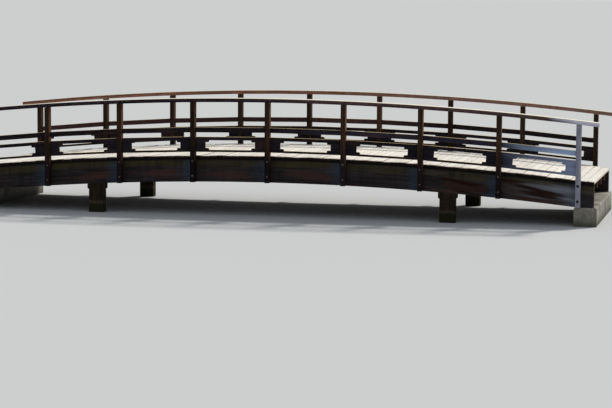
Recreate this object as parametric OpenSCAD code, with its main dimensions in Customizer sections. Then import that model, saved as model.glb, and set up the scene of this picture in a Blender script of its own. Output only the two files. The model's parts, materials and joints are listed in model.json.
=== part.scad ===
// Low arched timber footbridge: two laminated girders on piers and end seats,
// posts bolted to their outer faces, curved handrails and cut-out guard panels.
// Millimetres, +Z up. The origin is on the ground under the middle of the span.
// X runs along the bridge, and the near side is at -Y.

/* [Arch] */
// Distance from post centre to post centre
bay_len = 1450; // [1200:10:1700]
// Number of bays
bays = 8; // [8]
// Radius of the deck's walking line
arch_r = 55900; // [45000:100:80000]
// Height of the deck's crown above the lowest footing
crown_h = 1150; // [1050:10:1400]
// Distance between the two rows of posts, centre to centre
row_gap = 3490; // [2800:10:3900]

/* [Deck] */
// Thickness of a deck board
board_t = 38; // [30:1:50]
// Width of a deck board
board_w = 140; // [120:1:142]
// Boards laid in one bay
boards_per_bay = 10; // [10]
// Boards past each end post
boards_past = 2; // [2]
// Board ends past the girder's outer face
board_over = 20; // [5:1:40]
// Clearance of the notch round a post
notch_gap = 4; // [2:1:8]

/* [Girders] */
// Thickness of one lamination
lam_t = 38; // [30:1:40]
// Laminations in a girder
lams = 12; // [10:1:12]
// Width of a girder
girder_w = 140; // [110:1:180]
// Girder past the centre of an end post
girder_over = 280; // [240:5:285]
// Length of the level bearing cut at a girder's end
bearing_len = 300; // [200:5:310]

/* [Floor frame] */
// Width of a stringer under the deck
stringer_w = 89; // [60:1:120]
// Depth of a stringer
stringer_d = 140; // [90:1:160]
// Stringers between the girders
stringers = 3; // [2:1:4]
// Stringer past the centre of an end post
stringer_over = 270; // [150:5:285]
// Width of a cross beam along the bridge
cross_w = 89; // [60:1:120]
// Depth of a cross beam
cross_d = 235; // [150:5:250]

/* [Posts] */
// Post face across the railing
post_w = 89; // [70:1:120]
// Post depth from outside to inside
post_d = 140; // [100:1:160]
// Underside of the handrail above the deck
post_rise = 1016; // [900:2:1150]

/* [Handrails] */
// Handrail thickness
handrail_t = 76; // [50:1:95]
// Handrail width
handrail_w = 146; // [120:1:200]
// Handrail past the centre of an end post
handrail_over = 370; // [250:5:450]
// Corner rounding along the handrail's top edges
handrail_round = 10; // [4:1:15]
// Open joint where its two lengths meet over the middle post
handrail_joint = 2; // [0.5:0.5:4]

/* [Mid rails] */
// Underside of the mid rail above the deck
mid_rail_rise = 447; // [420:1:560]
// Mid rail depth
mid_rail_h = 95; // [70:1:120]
// Mid rail thickness
mid_rail_t = 38; // [25:1:50]

/* [Guard panels] */
// Underside of a guard panel above the deck
panel_rise = 78; // [40:1:120]
// Guard panel depth
panel_h = 286; // [270:1:300]
// Guard panel thickness
panel_t = 38; // [25:1:50]
// Length of the cut-out
cut_len = 966; // [700:2:1000]
// Height of the cut-out
cut_h = 180; // [140:1:190]
// Wood left under the cut-out
cut_sill = 41; // [30:1:60]
// Length of the block left in each corner of the cut-out
corner_len = 70; // [40:1:100]
// Height of the block left in each corner
corner_h = 36; // [25:1:60]
// Rounding of that block's free corner
corner_r = 22; // [8:1:24]

/* [Piers] */
// Distance of a pier from the middle of the span
pier_x = 3400; // [2600:10:4200]
// Pier post along the bridge
pier_w = 290; // [200:5:320]
// Pier post across the bridge
pier_d = 190; // [150:5:240]
// Bolster along the bridge
bolster_len = 350; // [320:5:600]
// Bolster depth at the middle of its length
bolster_h = 115; // [80:1:160]
// Chamfer along the lower ends of a bolster
bolster_chamfer = 30; // [10:1:60]

/* [End seats] */
// Seat wall along the bridge
seat_len = 420; // [330:5:600]
// Seat wall past the girder's end
seat_past = 60; // [0:5:120]
// Chamfer round the top of a seat wall
seat_chamfer = 25; // [5:1:40]

/* [Fit] */
// Gap where two curved faces meet
fit_gap = 0.3; // [0.1:0.1:0.5]

/* [Hidden] */
// Facets of the handrails' sweep and of the small roundings
sweep_fn = 720;
round_fn = 48;
// Room for cuts to run past the faces they cut
cut_past = 10;
// Flats in a bay along the sawn and planed arcs, each under 0.2 mm off the true curve
flats_per_bay = 5;

half_span = bays * bay_len / 2;
posts = bays + 1;
girder_d = lams * lam_t;
girder_top_r = arch_r - board_t - fit_gap;
girder_low_r = girder_top_r - girder_d;
stringer_low_r = girder_top_r - stringer_d;
arch_z = crown_h - arch_r;

row_y = row_gap / 2;
girder_out_y = row_y - post_d / 2;
girder_in_y = girder_out_y - girder_w;
girder_mid_y = girder_out_y - girder_w / 2;

girder_end = half_span + girder_over;
bearing_x = girder_end - bearing_len;
board_pitch = bay_len / boards_per_bay;
board_gap = board_pitch - board_w;
deck_end = half_span + boards_past * board_pitch - board_gap / 2;
bearing_z = arc_z(girder_low_r, bearing_x);
stringer_pitch = 2 * girder_in_y / (stringers + 1);

// Height of an arc of radius r about the arch's centre, at distance x from the crown
function arc_z(r, x) = arch_z + sqrt(r * r - x * x);
// Height of the deck's walking line at x
function deck_z(x) = arc_z(arch_r, x);
function post_x(i) = -half_span + (i - 1) * bay_len;
function bay_x(i) = post_x(i) + bay_len / 2;
// Slope in degrees of the chord between the posts of bay i
function bay_slope(i) = atan2(deck_z(post_x(i + 1)) - deck_z(post_x(i)), bay_len);

// Stands a drawing made in X and Z upright, centred on y and width thick
module upright(y, width) {
    translate([0, y + width / 2, 0])
        rotate([90, 0, 0])
            linear_extrude(height = width)
                children();
}

// Distances from the crown at which a curve that ends at -end_x and end_x turns
function stations(end_x) =
    let (step = bay_len / flats_per_bay, last = ceil(end_x / step) - 1)
    concat([-end_x], [for (k = [-last : last]) k * step], [end_x]);

// Curved bar between two radii, cut plumb at both ends
module arch_bar(high_r, low_r, end_x) {
    polygon(concat(
        [for (x = stations(end_x)) [x, arc_z(high_r, x)]],
        [for (x = stations(end_x)) [-x, arc_z(low_r, x)]]));
}

// Everything under an arc of radius r that is raised by lift
module under_arch(r, lift = 0) {
    end_x = half_span + handrail_over;
    polygon(concat(
        [for (x = stations(end_x)) [x, arc_z(r, x) + lift]],
        [[end_x, 0], [-end_x, 0]]));
}

// Post bolted to a girder's outer face, its head cut to the handrail's curve
module post(i, side) {
    foot_z = arc_z(girder_low_r, post_x(i));
    upright(side * row_y, post_d)
        intersection() {
            translate([post_x(i) - post_w / 2, foot_z])
                square([post_w, deck_z(0) + post_rise - foot_z]);
            under_arch(arch_r, post_rise - fit_gap);
        }
}

// Handrail bent to the deck's arc in two lengths, its upper edges rounded and its ends square
module handrail(side) {
    end_turn = asin((half_span + handrail_over) / (arch_r + handrail_t));
    joint_turn = asin(handrail_joint / 2 / arch_r);
    translate([0, side * row_y, arch_z + post_rise])
        for (half = [0, 1])
            mirror([half, 0, 0])
                rotate([90, end_turn - 90, 0])
                    rotate_extrude(angle = end_turn - joint_turn, $fn = sweep_fn)
                        handrail_profile();
}

// Section of the handrail, at its distance from the arch's centre
module handrail_profile() {
    side_h = handrail_t - handrail_round;
    edge_y = handrail_w / 2 - handrail_round;
    translate([arch_r, -handrail_w / 2])
        square([side_h, handrail_w]);
    translate([arch_r, -edge_y])
        square([handrail_t, 2 * edge_y]);
    for (y = [-edge_y, edge_y])
        translate([arch_r + side_h, y])
            circle(r = handrail_round, $fn = round_fn);
}

// Straight board between two posts, laid along the bay's slope, its ends cut plumb
module bay_board(i, side, rise, height, thick) {
    clear = bay_len - post_w;
    upright(side * row_y, thick)
        intersection() {
            translate([bay_x(i), (deck_z(post_x(i)) + deck_z(post_x(i + 1))) / 2 + rise])
                rotate(bay_slope(i))
                    difference() {
                        translate([-bay_len / 2, 0])
                            square([bay_len, height]);
                        children();
                    }
            translate([bay_x(i) - clear / 2, 0])
                square([clear, crown_h + post_rise]);
        }
}

// Long cut-out with a rounded block left in each corner
module panel_cut() {
    translate([0, cut_sill + cut_h / 2])
        difference() {
            square([cut_len, cut_h], center = true);
            for (a = [-1, 1], b = [-1, 1])
                translate([a * cut_len / 2, b * cut_h / 2])
                    scale_side(a, b)
                        corner_block();
        }
}

// Turns a drawing into one of the four corners
module scale_side(a, b) {
    mirror([a > 0 ? 1 : 0, 0])
        mirror([0, b > 0 ? 1 : 0])
            children();
}

module corner_block() {
    translate([-1, -1])
        square([corner_len - corner_r + 1, corner_h + 1]);
    translate([-1, -1])
        square([corner_len + 1, corner_h - corner_r + 1]);
    translate([corner_len - corner_r, corner_h - corner_r])
        circle(r = corner_r, $fn = round_fn);
}

module panel(i, side) {
    bay_board(i, side, panel_rise, panel_h, panel_t)
        panel_cut();
}

module mid_rails() {
    for (side = [-1, 1], i = [1 : bays])
        bay_board(i, side, mid_rail_rise, mid_rail_h, mid_rail_t);
}

// Laminated girder with a level bearing cut under each end
module girder(side) {
    upright(side * girder_mid_y, girder_w)
        difference() {
            arch_bar(girder_top_r, girder_low_r, girder_end);
            for (a = [-1, 1])
                translate([a * (girder_end + bearing_x) / 2, bearing_z - bearing_len])
                    square([bearing_len + 2 * cut_past, 2 * bearing_len], center = true);
        }
}

// Lighter curved beams that carry the boards between the girders
module stringers() {
    for (i = [1 : stringers])
        upright(-girder_in_y + i * stringer_pitch, stringer_w)
            arch_bar(girder_top_r, stringer_low_r, half_span + stringer_over);
}

// Beams from girder to girder at every pair of posts, cut to the stringers' curve
module cross_beams() {
    for (i = [1 : posts])
        upright(0, 2 * girder_in_y)
            intersection() {
                under_arch(stringer_low_r - fit_gap);
                translate([post_x(i) - cross_w / 2, arc_z(stringer_low_r, post_x(i)) - cross_d])
                    square([cross_w, 2 * cross_d]);
            }
}

// Deck in one section a bay, a board gap apart, notched round the posts
module deck() {
    for (i = [1 : bays])
        difference() {
            intersection() {
                upright(0, 2 * (girder_out_y + board_over))
                    arch_bar(arch_r, arch_r - board_t, deck_end);
                deck_section(i);
            }
            post_notches(i);
        }
}

module deck_section(i) {
    low_x = i == 1 ? -deck_end : post_x(i) + board_gap / 2;
    high_x = i == bays ? deck_end : post_x(i + 1) - board_gap / 2;
    translate([low_x, -row_gap, 0])
        cube([high_x - low_x, 2 * row_gap, 2 * crown_h]);
}

module post_notches(i) {
    notch_w = post_w + 2 * notch_gap;
    for (k = [i, i + 1], side = [-1, 1])
        translate([post_x(k) - notch_w / 2, side * row_y - post_d / 2 - notch_gap, 0])
            cube([notch_w, post_d + 2 * notch_gap, 2 * crown_h]);
}

// Calls its children at each pier under each girder
module each_pier() {
    for (a = [-1, 1], side = [-1, 1])
        translate([a * pier_x, side * girder_mid_y, 0])
            children();
}

pier_top = arc_z(girder_low_r, pier_x) - bolster_h;

// Bolster between a pier post and the girder, its top cut to the girder's curve
module bolsters() {
    for (a = [-1, 1], side = [-1, 1])
        upright(side * girder_mid_y, pier_d)
            intersection() {
                under_arch(girder_low_r - fit_gap);
                translate([a * pier_x, pier_top])
                    bolster_outline();
            }
}

module bolster_outline() {
    half = bolster_len / 2;
    high = bolster_h + bolster_len;
    polygon([
        [-half, high],
        [-half, bolster_chamfer],
        [-half + bolster_chamfer, 0],
        [half - bolster_chamfer, 0],
        [half, bolster_chamfer],
        [half, high]
    ]);
}

module pier_posts() {
    each_pier()
        translate([-pier_w / 2, -pier_d / 2, 0])
            cube([pier_w, pier_d, pier_top]);
}

// Concrete seat wall under each end of the bridge
module end_seats() {
    for (a = [-1, 1])
        upright(0, 2 * girder_out_y)
            translate([a * (girder_end + seat_past - seat_len / 2), 0])
                seat_outline();
}

module seat_outline() {
    half = seat_len / 2;
    polygon([
        [-half, 0],
        [-half, bearing_z - seat_chamfer],
        [-half + seat_chamfer, bearing_z],
        [half - seat_chamfer, bearing_z],
        [half, bearing_z - seat_chamfer],
        [half, 0]
    ]);
}

for (i = [1 : posts]) {
    color("#2b221e") post(i, -1);
    color("#2b221e") post(i, 1);
}
for (i = [1 : bays]) {
    color("#332925") panel(i, -1);
    color("#332925") panel(i, 1);
}
color("#4a3a34") handrail(-1);  // near_handrail
color("#4a3a34") handrail(1);  // far_handrail
color("#332925") mid_rails();
color("#3a302a") girder(-1);  // near_girder
color("#3a302a") girder(1);  // far_girder
color("#4d3f33") stringers();
color("#453930") cross_beams();
color("#d8d2c4") deck();
color("#3b2c22") bolsters();
color("#261e1a") pier_posts();
color("#8c8a84") end_seats();
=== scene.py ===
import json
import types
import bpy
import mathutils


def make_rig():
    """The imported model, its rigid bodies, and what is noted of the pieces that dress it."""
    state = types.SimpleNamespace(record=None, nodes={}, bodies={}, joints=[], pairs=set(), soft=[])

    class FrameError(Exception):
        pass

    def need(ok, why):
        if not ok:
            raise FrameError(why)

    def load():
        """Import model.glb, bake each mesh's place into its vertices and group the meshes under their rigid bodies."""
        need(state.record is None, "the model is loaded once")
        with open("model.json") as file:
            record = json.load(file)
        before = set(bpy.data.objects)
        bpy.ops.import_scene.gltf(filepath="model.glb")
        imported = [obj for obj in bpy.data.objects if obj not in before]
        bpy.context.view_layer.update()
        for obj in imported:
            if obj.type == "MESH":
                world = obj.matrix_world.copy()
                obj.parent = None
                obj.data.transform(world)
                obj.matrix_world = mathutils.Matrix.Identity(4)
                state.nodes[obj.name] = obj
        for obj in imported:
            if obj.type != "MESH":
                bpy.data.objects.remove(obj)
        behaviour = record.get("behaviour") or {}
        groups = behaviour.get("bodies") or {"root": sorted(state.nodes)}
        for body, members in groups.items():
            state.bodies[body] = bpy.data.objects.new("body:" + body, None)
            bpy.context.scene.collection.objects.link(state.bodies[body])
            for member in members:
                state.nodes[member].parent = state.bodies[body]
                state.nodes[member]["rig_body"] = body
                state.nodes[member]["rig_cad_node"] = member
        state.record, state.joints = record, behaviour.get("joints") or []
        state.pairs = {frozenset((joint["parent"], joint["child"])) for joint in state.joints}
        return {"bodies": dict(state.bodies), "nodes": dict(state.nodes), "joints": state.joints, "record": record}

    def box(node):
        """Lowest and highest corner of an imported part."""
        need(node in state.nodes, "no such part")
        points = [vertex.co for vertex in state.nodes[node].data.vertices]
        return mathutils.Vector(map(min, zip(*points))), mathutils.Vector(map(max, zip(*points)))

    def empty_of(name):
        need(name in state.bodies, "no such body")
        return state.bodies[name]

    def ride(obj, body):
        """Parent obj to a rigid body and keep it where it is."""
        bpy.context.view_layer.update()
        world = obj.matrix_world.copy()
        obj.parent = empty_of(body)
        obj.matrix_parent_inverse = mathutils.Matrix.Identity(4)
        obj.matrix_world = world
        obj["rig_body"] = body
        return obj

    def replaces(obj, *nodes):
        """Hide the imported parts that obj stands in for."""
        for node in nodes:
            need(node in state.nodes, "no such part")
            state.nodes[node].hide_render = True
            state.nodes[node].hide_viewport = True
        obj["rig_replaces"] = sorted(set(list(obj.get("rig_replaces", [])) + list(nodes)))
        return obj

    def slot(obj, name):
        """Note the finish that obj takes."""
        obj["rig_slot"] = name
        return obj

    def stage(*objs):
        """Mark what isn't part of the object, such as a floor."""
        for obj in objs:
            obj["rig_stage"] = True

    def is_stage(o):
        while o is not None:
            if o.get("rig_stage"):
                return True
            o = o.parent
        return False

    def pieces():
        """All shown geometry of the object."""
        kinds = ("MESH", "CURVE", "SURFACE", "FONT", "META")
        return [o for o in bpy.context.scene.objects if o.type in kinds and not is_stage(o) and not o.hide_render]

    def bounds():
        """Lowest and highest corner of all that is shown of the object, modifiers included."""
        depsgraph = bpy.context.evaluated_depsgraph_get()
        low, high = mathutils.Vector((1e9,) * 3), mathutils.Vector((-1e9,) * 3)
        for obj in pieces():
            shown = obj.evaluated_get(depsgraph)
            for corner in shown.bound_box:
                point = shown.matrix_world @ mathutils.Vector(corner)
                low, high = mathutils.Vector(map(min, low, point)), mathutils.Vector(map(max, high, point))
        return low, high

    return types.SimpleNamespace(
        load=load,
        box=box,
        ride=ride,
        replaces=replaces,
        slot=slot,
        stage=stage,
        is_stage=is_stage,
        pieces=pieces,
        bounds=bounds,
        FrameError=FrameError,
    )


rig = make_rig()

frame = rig.load()

import json
import math
import random
from functools import partialmethod
from types import SimpleNamespace

import bmesh
import bpy
from mathutils import Matrix, Vector

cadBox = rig.bounds()

# The deck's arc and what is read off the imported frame

arch = {
    "radius": 55.9,  # of the walking line
    "railRise": 1.016,  # underside of the handrail above the deck
    "seat": 0.0003,  # clearance between a bent timber and what lies on it
}
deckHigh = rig.box("deck")[1]
archCentre = deckHigh.z - arch["radius"]
postCount = sum(name.startswith("near_post_") for name in frame["nodes"])
bayCount = postCount - 1
rows = {"near": -1, "far": 1}  # the side of the bridge that each railing is on


def middle(node):
    low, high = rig.box(node)
    return (low + high) / 2


postX = [middle(f"near_post_{i + 1}").x for i in range(postCount)]
bayLength = postX[1] - postX[0]

deckScrew = {
    "spread": 0.036,  # from the board's middle line
    "inset": 0.0445,  # from the stringers' outer sides
}
# lines under the deck that take its screws: girders, outer stringers, middle stringer
bearerY = [middle("far_girder").y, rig.box("stringers")[1].y - deckScrew["inset"], 0.0]


def deckZ(x):
    return archCentre + math.sqrt(arch["radius"] ** 2 - x * x)


# Small helpers for node trees

class Wire:
    # one output of a node; sums with it add maths nodes
    def __init__(self, node, output=0):
        self.node = node
        self.output = output

    def __getitem__(self, output):
        return Wire(self.node, output)

    def __iter__(self):
        return (Wire(self.node, k) for k in range(len(self.node.outputs)))

    def maths(self, operation, *others):
        inputs = dict(enumerate((self, *others)))
        return addNode(self.node.id_data, "Math", inputs, operation=operation)

    __add__ = partialmethod(maths, "ADD")
    __sub__ = partialmethod(maths, "SUBTRACT")
    __rsub__ = partialmethod(maths, "MULTIPLY_ADD", -1.0)
    __mul__ = partialmethod(maths, "MULTIPLY")
    __truediv__ = partialmethod(maths, "DIVIDE")
    __abs__ = partialmethod(maths, "ABSOLUTE")


def treeOf(*values):
    return next(value.node.id_data for value in values if isinstance(value, Wire))


def plug(node, inputs):
    # wires are linked, plain values set on the node's own sockets
    for key, value in inputs.items():
        if isinstance(value, Wire):
            node.id_data.links.new(value.node.outputs[value.output], node.inputs[key])
        else:
            node.inputs[key].default_value = value


def addNode(tree, kind, inputs=None, **settings):
    # the kind of a shader node goes without its first word
    node = tree.nodes.new(kind if "Node" in kind else "ShaderNode" + kind)
    for key, value in settings.items():
        setattr(node, key, value)
    plug(node, inputs or {})
    return Wire(node)


def ramp(value, low, high, toLow=0.0, toHigh=1.0):
    inputs = {"Value": value, "From Min": low, "From Max": high, "To Min": toLow, "To Max": toHigh}
    return addNode(treeOf(value), "MapRange", inputs)


def split(vector):
    return addNode(treeOf(vector), "SeparateXYZ", {0: vector})


def joined(x=0.0, y=0.0, z=0.0):
    return addNode(treeOf(x, y, z), "CombineXYZ", {0: x, 1: y, 2: z})


def scaled(vector, scales):
    return addNode(treeOf(vector), "VectorMath", {0: vector, 1: scales}, operation="MULTIPLY")


def noise(vector, scale, detail=3, rough=0.5, distortion=0.0):
    # the scale is one number, or one for each way
    if isinstance(scale, tuple):
        vector = scaled(vector, scale)
        scale = 1.0
    return addNode(treeOf(vector), "TexNoise", {
        "Vector": vector, "Scale": scale, "Detail": detail, "Roughness": rough, "Distortion": distortion,
    })


def attribute(tree, name):
    return addNode(tree, "Attribute", attribute_name=name)["Fac"]


def colour(*chart):
    # a paint chart's 0 to 255, in the linear values that shaders take
    shares = [v / 255 for v in chart]
    linear = [v / 12.92 if v <= 0.04045 else ((v + 0.055) / 1.055) ** 2.4 for v in shares]
    return (*linear, 1.0)


def blend(share, first, second, kind="MIX"):
    # each side is a wire or a paint chart's colour
    sides = [side if isinstance(side, Wire) else colour(*side) for side in (first, second)]
    inputs = {0: share, 6: sides[0], 7: sides[1]}
    tree = treeOf(share, first, second)
    return addNode(tree, "Mix", inputs, data_type="RGBA", blend_type=kind)[2]


def shaded(base, light):
    return blend(1.0, base, joined(light, light, light), "MULTIPLY")


def bumped(height, strength, distance):
    inputs = {"Strength": strength, "Distance": distance, "Height": height}
    return addNode(treeOf(height), "Bump", inputs)


def newMaterial(name):
    material = bpy.data.materials.new(name)
    material.use_nodes = True
    return material, material.node_tree.nodes["Principled BSDF"]


# Timber: grain along the piece, a tone for each board, bleached tops with a painted highlight, a faded right end with
# painted sky light, painted sunlight and shade

patterns = {
    # repeats in a metre along the grain and the two ways across it, detail, roughness, distortion
    "figure": ((1.0, 17, 17), 4, 0.55, 0.6),
    "fibre": ((7, 210, 210), 3, 0.6),
    "patch": ((1.3, 4.5, 4.5), 3, 0.6),
    "check": ((0.9, 42, 42), 2, 0.5, 0.15),
    # repeats along, across and up the bridge
    "heart": ((1.1, 2, 7), 4, 0.6),
    "streak": ((0.7, 2, 11), 4, 0.55, 0.3),
    "runs": ((11, 11, 1.3), 4, 0.6),
}
knotCells = {"repeats": (3.4, 9, 9), "size": (0.19, 0.11), "swelling": (0.6, 0.12)}
boardShifts = (31.0, 7.0, 3.0)  # how far the pattern can move from board to board, in metres

plainTimber = {
    "grain": "along", "knots": 0.12, "rough": 0.74, "tone": 0.17, "arris": 0.3,
    "stain": 0.75, "bleach": 0.9, "bleachLow": 0.55,  # share of the bleached colour, and the least of it
    "bleachFrom": 0.55,  # how far up a face has to look before the sun bleaches it and it is painted lit
    "tints": [],  # changes along the bridge: side or 0, colour, where it starts and is full, share
}

# Colours are those of a paint chart, and places and depths are in metres
timbers = {
    "post": {
        # the share in which the near row's right sides are painted lit: painted sunlight
        "grain": "up", "sunny": 0.4, "tone": 0.55,
        "dark": (33, 25, 20), "light": (60, 45, 35), "red": (78, 50, 35),
        # bore is near black, painted shade in the bolts' bores, and also darkens the feet
        "worn": (114, 73, 42), "bleached": (206, 186, 150), "end": (44, 34, 27), "bore": (21, 18, 22),
        "foot": 0.85, "footBand": (-0.3, 0.1),  # below the deck, where the foot turns dark
        "faded": (152, 154, 169), "fade": 0.96, "fadeBand": (5.2, 5.6), "fadeGrain": 0.4,
    },
    "panel": {
        "bleach": 1.0, "bleachLow": 0.7,
        "dark": (22, 19, 25), "light": (38, 34, 39), "red": (54, 39, 36),
        "worn": (104, 76, 52), "bleached": (240, 214, 164), "end": (34, 27, 24),
        "faded": (146, 158, 190), "fade": 0.94, "fadeBand": (4.3, 5.7), "fadeGrain": 0.3,
    },
    "midRail": {
        "bleach": 1.0, "bleachLow": 0.7,
        "dark": (22, 18, 23), "light": (40, 34, 38), "red": (60, 42, 38),
        "worn": (104, 76, 52), "bleached": (242, 220, 174), "end": (34, 27, 24),
        "faded": (171, 194, 228), "fade": 1.0, "fadeBand": (4.4, 5.45), "fadeGrain": 0.3,
        "tints": [(-1, (62, 57, 76), -0.3, 1.0, 0.3), (1, (74, 52, 50), 2.7, 1.2, 0.6)],
    },
    # the near handrail and the far one are one timber: the near one's darker colours carry painted shade, the far
    # one's paler colours painted light reflected from the deck
    "rail": {
        "bleach": 1.0, "bleachLow": 0.84, "bleachFrom": 0.25, "arris": 0.12,
        "dark": (23, 17, 25), "light": (41, 31, 40), "red": (60, 40, 42),
        "worn": (120, 88, 70), "bleached": (252, 243, 222), "end": (60, 46, 38),
        "faded": (208, 205, 222), "fade": 1.0, "fadeBand": (5.2, 5.75), "fadeGrain": 0.15,
        # the near handrail is painted paler from the middle to the right end: painted sunlight
        "tints": [(0, (106, 80, 78), -0.3, 1.2, 0.48)],
    },
    "farRail": {
        "bleach": 1.0, "bleachLow": 0.84, "bleachFrom": 0.25,
        "dark": (102, 65, 51), "light": (160, 111, 91), "red": (146, 84, 64),
        "worn": (168, 130, 104), "bleached": (252, 243, 222), "end": (70, 52, 42),
        "tints": [(0, (148, 122, 120), 0.0, 2.2, 0.45)],
    },
    "girder": {
        "bleach": 0.5, "arris": 0.12, "tone": 0.05, "knots": 0.06,
        "stain": 0.35, "stainLean": 0.14, "streak": 0.4, "streakLean": 0.03,
        "dark": (28, 25, 26), "light": (54, 50, 53), "red": (58, 32, 25),
        "worn": (74, 66, 60), "bleached": (120, 112, 100), "end": (52, 43, 36),
        "faded": (122, 125, 134), "fade": 0.95, "fadeBand": (4.5, 5.5), "fadeGrain": 0.75,
        # the last two hold the fade off past the last post and at the top below the deck: painted shade and painted
        # shadow
        "fadeStop": (5.76, 5.86), "sheltered": (0.09, 0.16),
        # the girder's top under the deck's edge is painted near black: painted shadow
        "underDeck": 0.92, "underDeckBand": (0.1, 0.065), "deep": (10, 8, 10),
        "olive": (63, 56, 38), "oliveBand": (0.22, 0.13),
        "damp": (66, 80, 97), "besidePost": 0.8, "dampBand": (0.72, 0.95),  # as shares of a bay
        # patches of heartwood: colour, share, and for each its place along the bridge, its depth
        # below the deck, half length, half height and lean
        "patches": [
            ((72, 64, 60), 0.7, [(4.58, 0.31, 0.24, 0.13, 0.1), (3.15, 0.15, 0.18, 0.045, 0.0)]),
            ((60, 38, 30), 0.75, [(3.68, 0.36, 0.36, 0.11, 0.05), (5.1, 0.44, 0.42, 0.045, 0.0)]),
            ((36, 17, 10), 0.95, [
                (4.92, 0.245, 0.44, 0.06, 0.17), (5.18, 0.335, 0.4, 0.078, 0.09),
                (3.58, 0.262, 0.3, 0.04, 0.1), (3.86, 0.46, 0.28, 0.025, 0.1)]),
            ((80, 52, 44), 0.5, [
                (3.4, 0.455, 0.34, 0.04, 0.05), (0.8, 0.33, 0.45, 0.07, 0.06),
                (-0.75, 0.35, 0.42, 0.08, 0.02), (-2.0, 0.33, 0.34, 0.08, -0.04),
                (-3.4, 0.36, 0.4, 0.06, -0.1)]),
        ],
        "patchStep": 0.12,  # how far a patch moves left or right from lamination to lamination
    },
    "frame": {
        "bleach": 0.3,
        "dark": (62, 48, 37), "light": (104, 83, 64), "red": (96, 62, 44),
        "worn": (120, 98, 76), "bleached": (120, 106, 86), "end": (84, 66, 50),
    },
    "crossBeam": {
        "grain": "across", "bleach": 0.3,
        "dark": (56, 43, 34), "light": (94, 74, 58), "red": (90, 58, 42),
        "worn": (112, 90, 70), "bleached": (120, 106, 86), "end": (78, 62, 48),
    },
    "deck": {
        "grain": "across", "bleach": 0.7, "bleachLow": 0.45, "tone": 0.1, "stain": 0.6,
        "dark": (212, 200, 184), "light": (243, 236, 223), "red": (220, 200, 174),
        # the boards' sawn ends are near black: their dark stain with painted shade
        "worn": (232, 223, 208), "bleached": (252, 248, 240), "end": (26, 21, 21),
        "under": (112, 95, 76), "gapBand": (0.01, 0.04),  # in from the deck's two ends
        "iron": (98, 88, 80), "ironRing": (0.014, 0.004), "ironShare": 0.55,
        "soiled": (122, 98, 78), "soiledBand": (0.06, 0.16), "soiledShare": 0.75,
    },
    "pier": {
        "grain": "up", "bleach": 0.4, "arris": 0.15,
        "dark": (28, 23, 16), "light": (54, 44, 31), "red": (62, 42, 28),
        "worn": (84, 68, 48), "bleached": (96, 86, 66), "end": (44, 36, 26),
        "slime": (36, 38, 22), "slimeTop": (0.24, 0.2),
        "tide": (92, 88, 72), "tideFoot": (0.22, 0.24), "tideTop": (0.31, 0.25),
    },
}


def leaning(wood, slope):
    # a space in which streaks slope down to both ends of the bridge
    return joined(wood.x, wood.y, abs(wood.x) * slope + wood.radius)


def timberGrain(tree, look):
    # what the colours of a timber are worked out from
    wood = SimpleNamespace()
    place = addNode(tree, "TexCoord")
    wood.x, wood.y, wood.z = split(place["Object"])
    wood.facing = list(split(place["Normal"]))
    drop = wood.z - archCentre
    wood.radius = (wood.x * wood.x + drop * drop).maths("SQRT")
    wood.depth = arch["radius"] - wood.radius  # below the deck
    wood.shift = attribute(tree, "boardShift")
    ways = {
        "along": (wood.x, wood.y, wood.radius),
        "across": (wood.y, wood.x, wood.radius),
        "up": (wood.z, wood.x, wood.y),
    }[look["grain"]]
    grain = joined(*(wood.shift * far + way for way, far in zip(ways, boardShifts)))

    # a few cells of a stretched pattern hold a knot, and the figure swells round it
    stretched = scaled(grain, knotCells["repeats"])
    cells = addNode(tree, "TexVoronoi", {"Vector": stretched, "Scale": 1.0})
    pick = addNode(tree, "SeparateColor", {0: cells["Color"]})
    chosen = ramp(pick, 1 - look["knots"], 1.02 - look["knots"])
    wood.knot = chosen * ramp(cells["Distance"], *knotCells["size"])
    swell = chosen * ramp(cells["Distance"], *knotCells["swelling"], 0.0, 0.3)

    wood.figure = noise(grain, *patterns["figure"]) + swell
    wood.fibre = noise(grain, *patterns["fibre"])
    wood.patch = noise(grain, *patterns["patch"])
    wood.runs = noise(place["Object"], *patterns["runs"])  # water runs
    check = abs(noise(grain, *patterns["check"]) - 0.5)
    wood.crack = ramp(check, 0.0, 0.008, 0.35, 1.0).maths("MAXIMUM", ramp(wood.patch, 0.46, 0.54))

    wood.heart = wood.patch
    if "stainLean" in look:
        wood.heart = noise(leaning(wood, look["stainLean"]), *patterns["heart"])
    wood.streaks = wood.figure
    if "streak" in look:
        wood.streaks = noise(leaning(wood, look["streakLean"]), *patterns["streak"])

    end = wood.facing[("along", "across", "up").index(look["grain"])]
    wood.sawn = ramp(abs(end), 0.4, 0.6)
    wood.unsawn = 1.0 - wood.sawn
    wood.top = ramp(wood.facing[2], look["bleachFrom"], look["bleachFrom"] + 0.35)
    return wood


def freshColours(look, wood):
    # figure, rings, worn streaks and red heartwood
    base = blend(ramp(wood.figure, 0.34, 0.66), look["dark"], look["light"])
    rings = (wood.figure * 7.0).maths("PINGPONG", 0.5)
    base = blend(ramp(rings, 0.3, 0.02, 0.0, 0.3), base, look["dark"])
    if "streak" in look:
        base = blend(ramp(wood.streaks, 0.5, 0.72, 0.0, look["streak"]), base, look["worn"])
    return blend(ramp(wood.heart, 0.53, 0.68, 0.0, look["stain"]), base, look["red"])


def girderWeather(look, wood, base):
    # an olive band along the top, blue grey beside the posts
    wavy = (wood.heart - 0.5) * 0.3 + wood.depth
    olive = ramp(wavy, *look["oliveBand"]) * ramp(wood.streaks, 0.2, 0.6, 0.3, 0.95)
    base = blend(olive, base, look["olive"])
    bay = ((wood.x - postX[0]) / bayLength).maths("FRACT")
    beside = ramp(bay, *look["dampBand"]).maths("POWER", 2.0)
    damp = beside * ramp(wood.streaks, 0.3, 0.6, 0.5, 1.0)
    return blend(damp * look["besidePost"], base, look["damp"])


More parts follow.
